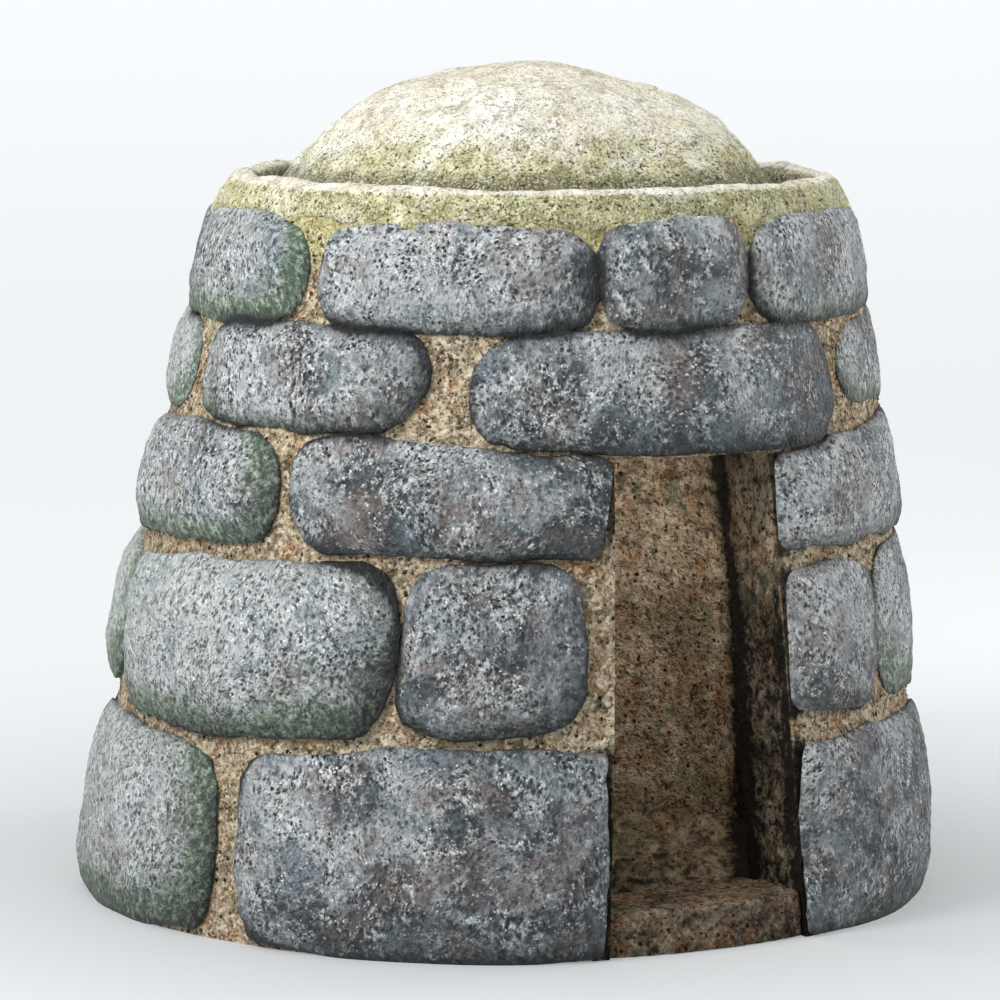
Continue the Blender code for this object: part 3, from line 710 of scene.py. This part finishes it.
mortar = {
    "rowHeight": 0.0142,
    "outerStep": 0.55,  # degrees
    "innerStep": 2.0,
    "jambSteps": 18,
    "hiddenDepth": 0.022,  # mortar this deep inside a boulder is left out
    "smear": 0.010,  # how far mortar runs up a boulder's side
    "smearReach": 0.020,
    "sunk": 0.002,  # how far the bare mortar lies behind the wall's face
    "gravel": {"Pieces Per Square Metre": 650.0, "Smallest": 0.003, "Largest": 0.008},
    "shadeBearing": 96.5,  # where a painted shade stripe darkens the room's wall, degrees
    "smokeLeaves": (0.0, -1.22, 1.80),  # over the doorway, where smoke comes out and darkens the joints
    "smokeReach": 0.7,
    "relief": (0.06, 0.004, 0.03, 0.0025, 0.03, 0.003),
    "lengths": {"wall_left": (-75, 0), "wall_right": (0, 75), "wall_back_right": (75, 145),
                "wall_back": (145, 215), "wall_back_left": (215, 285), "door_head": (-24, 24)},
}

stonesTree = treeOf(boulderPieces)


def toStone(point):
    # how far a point is outside the nearest boulder, negative inside it
    spot, normal, _, distance = stonesTree.find_nearest(Vector(point), 0.3)
    if spot is None:
        return 0.3
    return distance if (Vector(point) - spot).dot(normal) > 0 else -distance


def outward(point):
    # level, away from the leaning wall's middle
    return Vector((point[0] - wall["lean"][0] * point[2], point[1] - wall["lean"][1] * point[2], 0))


def mortarLength(name, start, end):
    low = door["head"] if name == "door_head" else 0.0
    heights = np.linspace(low, wall["head"], round((wall["head"] - low) / mortar["rowHeight"]) + 1)
    if low == 0.0:
        heights[np.argmin(np.abs(heights - door["head"]))] = door["head"]
    side = {"wall_left": -1, "wall_right": 1}.get(name, 0)
    body = bmesh.new()
    push = body.verts.layers.float_vector.new("push")
    give, nook, sootAndShade, lime, bare = (body.verts.layers.float.new(what)
                                    for what in ("give", "nook", "sootAndShade", "lime", "bare"))
    kind = body.faces.layers.int.new("kind")  # 0 outside, 1 room and reveals, 2 hidden
    hidden = set()

    def edges(height, radius):
        # where this length of wall starts and ends at a height: the jamb or the block over the door cuts it
        first, last = math.radians(start), math.radians(end)
        if side:
            if height <= door["head"] + 1e-6:
                cut = math.asin((jambX(height, side) - wall["lean"][0] * height) / radius)
            else:
                cut = side * math.radians(door["headBearing"])
            if side < 0:
                last = cut
            else:
                first = cut
        return first, last

    def addPoint(point, direction, amount, close=0.0, sootAndShadeHere=0.0):
        made = body.verts.new(point)
        made[push] = direction
        made[give] = amount
        made[nook] = close
        made[sootAndShade] = sootAndShadeHere
        return made

    def outerPoint(point):
        height, away, gap = point[2], outward(point).normalized(), toStone(point)
        smear = mortar["smear"] * math.exp(-abs(gap) / mortar["smearReach"])
        spot = Vector(point) + away * (smear - mortar["sunk"])
        # painted shade where the mortar meets a stone
        made = addPoint(spot, away, 1.0, math.exp(-abs(gap) / 0.010))
        fromJamb = abs(point[0] - jambX(height, side))
        if side and height < door["head"] and fromJamb < 0.06:
            # painted shade darkens a thin edge of mortar left between a stone and the doorway, more lower
            # down
            thin = unit((2.2 if fromJamb < 0.025 else 1.7) - gap / 0.026)
            made[nook] = max(made[nook], thin)
            made[sootAndShade] = thin * unit(max(0.35, 1.40 - height / 1.2))
        made[lime] = unit((height - 2.18) / 0.16)
        fromDoorHead = math.dist(point, mortar["smokeLeaves"]) / mortar["smokeReach"]
        made[sootAndShade] = max(made[sootAndShade], 0.13 * math.exp(-fromDoorHead ** 2))
        made[bare] = unit(gap / 0.012) if height < wall["head"] - 0.03 else 0.0
        if gap < -mortar["hiddenDepth"]:
            hidden.add(made)
        return made

    def innerPoint(point):
        height, away = point[2], outward(point)
        bearing = math.degrees(math.atan2(away.x, -away.y)) % 360
        # painted shade: a dark stripe on the room's wall round the shade bearing, widening higher up, and
        # darker at the foot and high up
        wide = 5.2 + 3.6 * unit((height - 0.9) / 0.5)
        stain = 2.4 * math.exp(-((bearing - mortar["shadeBearing"]) / wide) ** 2)
        topAndFootShade = 0.12 * unit(1 - height / 0.30) + 0.26 * unit((height - 1.12) / 0.25)
        return addPoint(point, -away.normalized(), 1.0, 0.0, topAndFootShade + stain)

    def skin(step, radiusAt, pointAt):
        ids = np.empty((len(heights), round((end - start) / step) + 1), dtype=object)
        for j, z in enumerate(heights):
            row = place(np.linspace(*edges(z, radiusAt(z)), ids.shape[1]), z, radiusAt(z))
            ids[j] = [pointAt(point) for point in row]
        return ids

    def addFaces(ids, what, skip=None):
        for j in range(ids.shape[0] - 1):
            for i in range(ids.shape[1] - 1):
                corners = [ids[j, i], ids[j, i + 1], ids[j + 1, i + 1], ids[j + 1, i]]
                if skip and all(c in skip for c in corners):
                    continue
                body.faces.new(corners)[kind] = what

    outerIds = skin(mortar["outerStep"], wallRadius, outerPoint)
    innerIds = skin(mortar["innerStep"], roomRadius, innerPoint)
    addFaces(outerIds, 0, hidden)
    addFaces(innerIds, 1)

    # ends: a jamb is a worked surface, any other end is hidden against its neighbour
    for column, isJamb in ((0, side > 0), (-1, side < 0)):
        outside, inside = outerIds[:, column], innerIds[:, column]
        if not isJamb:
            body.faces.new(list(outside) + list(inside[::-1]))[kind] = 2
            continue
        steps = mortar["jambSteps"]
        table = np.empty((len(heights), steps + 1), dtype=object)
        for j, z in enumerate(heights):
            table[j, 0], table[j, -1] = outside[j], inside[j]
            # painted shade on a reveal: blackest at its inner edge, darker lower down, and darker near its
            # outer edge low down
            inside[j][sootAndShade] = 1.3
            lowShade = min(0.62, max(0.12, (1.34 - z) / 0.45))
            edge = 0.55 * unit((1.30 - z) / 0.25)
            for k in range(1, steps):
                share = k / steps
                fade = min(1.0, 4 * share, 4 * (1 - share)) if z < door["head"] else 0.0
                sootAndShadeHere = min(1.3, lowShade + 1.2 * share ** 5 + edge * (1 - share) ** 2)
                point = outside[j].co.lerp(inside[j].co, share)
                table[j, k] = addPoint(point, Vector((-side, 0, 0)), fade, 0.0, sootAndShadeHere)
        addFaces(table, 1)
    for row in (0, -1):
        body.faces.new(list(outerIds[row]) + list(innerIds[row][::-1]))[kind] = 2
    for face in bmesh.ops.holes_fill(body, edges=[e for e in body.edges if e.is_boundary], sides=0)["faces"]:
        face[kind] = 2
    bmesh.ops.delete(body, geom=[v for v in body.verts if not v.link_faces], context="VERTS")
    bmesh.ops.recalc_face_normals(body, faces=body.faces)
    mesh = bpy.data.meshes.new("mortar_" + name)
    body.to_mesh(mesh)
    body.free()
    return mesh


def makeMortar(name, start, end):
    mesh = mortarLength(name, start, end)
    made = addObject("mortar_" + name, mesh)
    weather(made, mortar["relief"], 1.0, outerMortar)
    mesh = made.data
    mesh.materials.append(innerMortar)
    kinds = np.empty(len(mesh.polygons), dtype=np.int32)
    mesh.attributes["kind"].data.foreach_get("value", kinds)
    mesh.polygons.foreach_set("material_index", np.where(kinds == 1, 1, 0).astype(np.int32))
    points = readPoints(mesh)
    points[:, 2] = np.clip(points[:, 2], 0.0, wall["head"])
    writePoints(mesh, points)
    mesh.set_sharp_from_angle(angle=math.radians(50))
    applyTree(made, gravelTree, mortar["gravel"], len(name), outerMortar)
    points = readPoints(made.data)
    points[:, 2] = np.maximum(points[:, 2], 0.0)
    writePoints(made.data, points)
    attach(made, "root")
    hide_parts(name)
    return made


mortarPieces = [makeMortar(name, *ends) for name, ends in mortar["lengths"].items()]
print("mortar:", len(mortarPieces), "pieces,", sum(len(p.data.polygons) for p in mortarPieces), "faces")


# Threshold, floor and roof: remeshed from their solids, softened and weathered

softened = {
    "threshold": {"voxel": 0.010, "softening": 10, "slot": "mortar", "sootAndShade": 0.27,
                  "relief": (0.09, 0.010, 0.04, 0.005, 0.05, 0.006)},
    "earth_floor": {"voxel": 0.018, "softening": 2, "slot": "earth", "sootAndShade": 0.46,
                    "swept": 0.06,  # how high earth is swept up against the foot of the wall
                    "shadeLine": ((0.51, -0.67), (0.864, -0.504)),  # a point on it, and the way over it
                    "relief": (0.13, 0.011, 0.05, 0.007, 0.06, 0.006)},
    "roof_rim": {"voxel": 0.0105, "softening": 26, "slot": "roof_clay",
                 "hangs": 0.06,  # how far the render may run down over the top course
                 "skirt": 2.505,  # below this height the outer face flares and sags
                 "flare": 0.040, "sag": 0.050, "tilt": 0.014, "crest": 2.484,
                 "relief": (0.17, 0.010, 0.05, 0.005, 0.04, 0.004)},
    "roof_dome": {"voxel": 0.0165, "softening": 20, "slot": "roof_clay",
                  "dip": 0.032, "bulge": 0.026, "wider": 0.055,  # sunk to the right, fuller to the left
                  "bed": 0.84,  # from this radius out it is the gutter's bed, which runs in under the rim
                  "underRim": 0.045,
                  "relief": (0.24, 0.022, 0.09, 0.009, 0.05, 0.005)},
}


def slump(node, points):
    # the roof settled unevenly: the dome is fuller on its left side, and the rim's render ran down the stones
    shape = softened[node]
    azimuth, radius = polar(points)
    across = radius * np.sin(azimuth + viewTurn) / 0.83
    if node == "roof_dome":
        bed = unit((radius - shape["bed"]) / 0.06)
        points[:, 2] -= shape["dip"] * np.exp(-((across - 0.42) / 0.26) ** 2) * (1 - bed)
        points[:, 2] += shape["bulge"] * np.exp(-((across + 0.72) / 0.22) ** 2) * (1 - bed)
        wider = 1 + shape["wider"] * unit(-across) ** 2 * (1 - bed)
        points[:] = place(azimuth, points[:, 2], radius * wider + shape["underRim"] * bed)
    if node == "earth_floor":
        banked = np.exp(-(1.10 - radius) / 0.07) * (points[:, 2] > 0.02)
        points[:, 2] += shape["swept"] * banked * (1 + 0.4 * wander(points, 0.3, 93))
    if node == "roof_rim":
        drop = unit((shape["skirt"] - points[:, 2]) / 0.105) * unit((radius - 0.99) / 0.05)
        uneven = np.clip(0.9 + 0.45 * wander(points, 0.26, 91), 0.55, 1.4)
        flared = radius + shape["flare"] * drop ** 1.3 * uneven
        shoulder = unit((radius - 1.0) / 0.088) ** 2 * unit((points[:, 2] - 2.42) / 0.07)
        heights = points[:, 2] - shape["sag"] * drop ** 1.5 * uneven + shape["tilt"] * unit(-across)
        heights += 0.008 * wander(points, 0.5, 92)
        heights -= shoulder * (0.020 + 0.030 * np.clip(np.abs(across) - 0.5, 0, 0.8))
        points[:] = place(azimuth, heights, flared)
    return points


def stainSoftened(node, mesh):
    points = readPoints(mesh)
    height = points[:, 2]
    azimuth, radius = polar(points)
    # wet on the rim's outer face below its crest, and wetter still round the foot of the dome, where it also
    # darkens the clay as painted shade
    outer = unit((radius - 1.02) / 0.06) * np.clip((2.52 - height) / 0.06, 0.25, 1)
    facing = 0.65 + 0.35 * np.cos(azimuth + 0.2)  # greener in front
    foot = unit((2.72 - height) / 0.20) * unit((radius - 0.45) / 0.3)
    crest = unit((height - softened["roof_rim"]["crest"]) / 0.012) * unit((radius - 0.965) / 0.01)
    wetShadeAndHighlight = np.clip(np.maximum(outer, foot * 1.3) * facing, 0, 1.3)
    # painted highlight: the rim's crest is paler
    writeValue(mesh, "wetShadeAndHighlight", wetShadeAndHighlight * (1 - crest) - 0.7 * crest)
    # painted shade, with some silt, in the gutter and on the foot of the dome
    gutter = unit((radius - 0.72) / 0.06) * unit((0.99 - radius) / 0.02) * unit((2.57 - height) / 0.07)
    writeValue(mesh, "nook", gutter if node.startswith("roof") else np.zeros(len(points)))
    # each piece's darkening from its settings to start with, painted shade on the floor
    sootAndShade = np.full(len(points), softened[node].get("sootAndShade", 0.0))
    if node == "earth_floor":
        # painted shade, blackest to the right of a line straight back from the right-hand jamb, and darker to
        # its left towards the doorway
        (x, y), (overX, overY) = softened[node]["shadeLine"]
        beyond = overX * (points[:, 0] - x) + overY * (points[:, 1] - y)
        sootAndShade += 0.9 * unit(beyond / 0.07) + 0.42 * unit(-beyond / 0.4) * unit((0.1 - points[:, 1]) / 0.4)
    writeValue(mesh, "sootAndShade", sootAndShade)


def makeSoftened(node, settings, material, seed):
    mesh = remeshed(mergedCopy(node), settings["voxel"], settings["softening"])
    points = slump(node, readPoints(mesh))
    writePoints(mesh, points)
    if "swept" in settings:
        closeBack(mesh, 0.008)
        points = readPoints(mesh)
    made = addObject("weathered_" + node, mesh)
    give = unit((points[:, 2] - points[:, 2].min()) / 0.03)
    if node == "roof_dome":
        give *= unit((0.95 - polar(points)[1]) / 0.06)  # nothing lifts or sinks where it meets the rim
    writeValue(mesh, "give", give)
    weather(made, settings["relief"], seed, material)
    points = readPoints(made.data)
    low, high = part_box(node)[0][2] - settings.get("hangs", 0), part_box(node)[1][2] + 0.02
    points[:, 2] = np.minimum(np.clip(points[:, 2], low, high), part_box("roof_dome")[1][2])
    writePoints(made.data, points)
    stainSoftened(node, made.data)
    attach(made, "root")
    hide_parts(node)


finishes = {"threshold": dirtyMortar, "earth_floor": sweptEarth, "roof_rim": clay, "roof_dome": clay}
for index, (node, settings) in enumerate(softened.items()):
    makeSoftened(node, settings, finishes[node], 50.0 + index)
print("threshold, floor and roof made")


# Studio: pale floor, soft light, camera at the photograph's angle

studio = {
    "floorNear": "#6a6d6f",
    "floorFar": "#f5f7f8",
    "floorSize": 220.0,
    "reach": 3.5,  # metres; the floor goes from near to far as (away / (away + reach)) ** spread
    "spread": 1.6,
    "nearGlow": 0.31,
    "farGlow": 0.66,  # the floor glows, from nearGlow by the hut to farGlow far off: painted light, which near the hut lifts the hut's shadow
    "skyColour": "#f6fafc",
    "skyStrength": 0.45,
    # each light's place, what it points at, its size in metres, its power in watts and its colour
    "lights": {
        "overhead": ((-1.5, 0.5, 11.0), (0, 0, 1.5), (6, 6), 430, "#ffffff"),
        "leftWindow": ((-7.8, -2.6, 6.9), (0, 0, 1.2), (3.5, 3.5), 790, "#ffffff"),
        "rightWindow": ((8.0, -1.0, 3.8), (0, 0, 1.4), (2, 4), 350, "#ffffff"),
        "frontFill": ((-4.6, -11.5, 3.0), (0, -1, 1.0), (1.5, 1.5), 90, "#ffffff"),
        "roomLamp": ((-0.1, -0.55, 1.95), (0.45, 0.9, 0.6), (0.5, 0.3), 28, "#fffaf4"),
    },
}


def makeFloor():
    size = studio["floorSize"]
    mesh = bpy.data.meshes.new("studio_floor")
    corners = [(-size, -size, 0), (size, -size, 0), (size, size, 0), (-size, size, 0)]
    mesh.from_pydata(corners, [], [(0, 1, 2, 3)])
    made = addObject("studio_floor", mesh)
    material, tree, shader, where, _ = newMaterial("paleStudioFloor", 1.0, 0.0)
    away = addNode(tree, "ShaderNodeVectorMath", {0: where}, operation="LENGTH").outputs["Value"]
    further = addNode(tree, "ShaderNodeMath", {0: away, 1: studio["reach"]}, operation="ADD")
    ratio = addNode(tree, "ShaderNodeMath", {0: away, 1: further}, operation="DIVIDE")
    share = addNode(tree, "ShaderNodeMath", {0: ratio, 1: studio["spread"]}, operation="POWER")
    tone = addNode(tree, "ShaderNodeMix", {0: share, 6: studio["floorNear"], 7: studio["floorFar"]},
                   data_type="RGBA")
    glow = addNode(tree, "ShaderNodeMapRange", {
        "Value": share, "To Min": studio["nearGlow"], "To Max": studio["farGlow"]})
    tree.links.new(tone.outputs[2], shader.inputs["Base Color"])
    tree.links.new(glow.outputs[0], shader.inputs["Emission Strength"])
    shader.inputs["Emission Color"].default_value = hexColour(studio["floorFar"])
    mesh.materials.append(material)


def makeStudio():
    makeFloor()
    world = bpy.data.worlds.new("studioSky")
    world.use_nodes = True
    background = world.node_tree.nodes["Background"]
    background.inputs["Color"].default_value = hexColour(studio["skyColour"])
    background.inputs["Strength"].default_value = studio["skyStrength"]
    scene.world = world
    for name, (location, target, size, power, colour) in studio["lights"].items():
        data = bpy.data.lights.new(name, "AREA")
        data.shape = "RECTANGLE"
        data.size, data.size_y = size
        data.energy = power
        data.color = hexColour(colour)[:3]
        made = addObject(name, data)
        made.location = location
        made.rotation_euler = (Vector(target) - Vector(location)).to_track_quat("-Z", "Y").to_euler()
        made.visible_camera = name != "roomLamp"


camera = {
    "distance": 17.4,  # level distance from the hut's middle
    "height": 3.536,
    "pitch": -7.181,
    "lens": 178.8,
    "shift": -0.005,
}


def makeCamera():
    data = bpy.data.cameras.new("camera")
    data.lens = camera["lens"]
    data.sensor_width = 36
    data.shift_x = camera["shift"]
    data.clip_end = 600
    made = addObject("camera", data)
    pitch = math.radians(camera["pitch"])
    back = Vector((-math.sin(viewTurn), -math.cos(viewTurn), 0))
    made.location = back * camera["distance"] + Vector((0, 0, camera["height"]))
    look = -back * math.cos(pitch) + Vector((0, 0, math.sin(pitch)))
    made.rotation_euler = look.to_track_quat("-Z", "Y").to_euler()
    scene.camera = made


makeStudio()
makeCamera()
scene.view_settings.view_transform = "Standard"
scene.view_settings.look = "None"

print("studio ready")
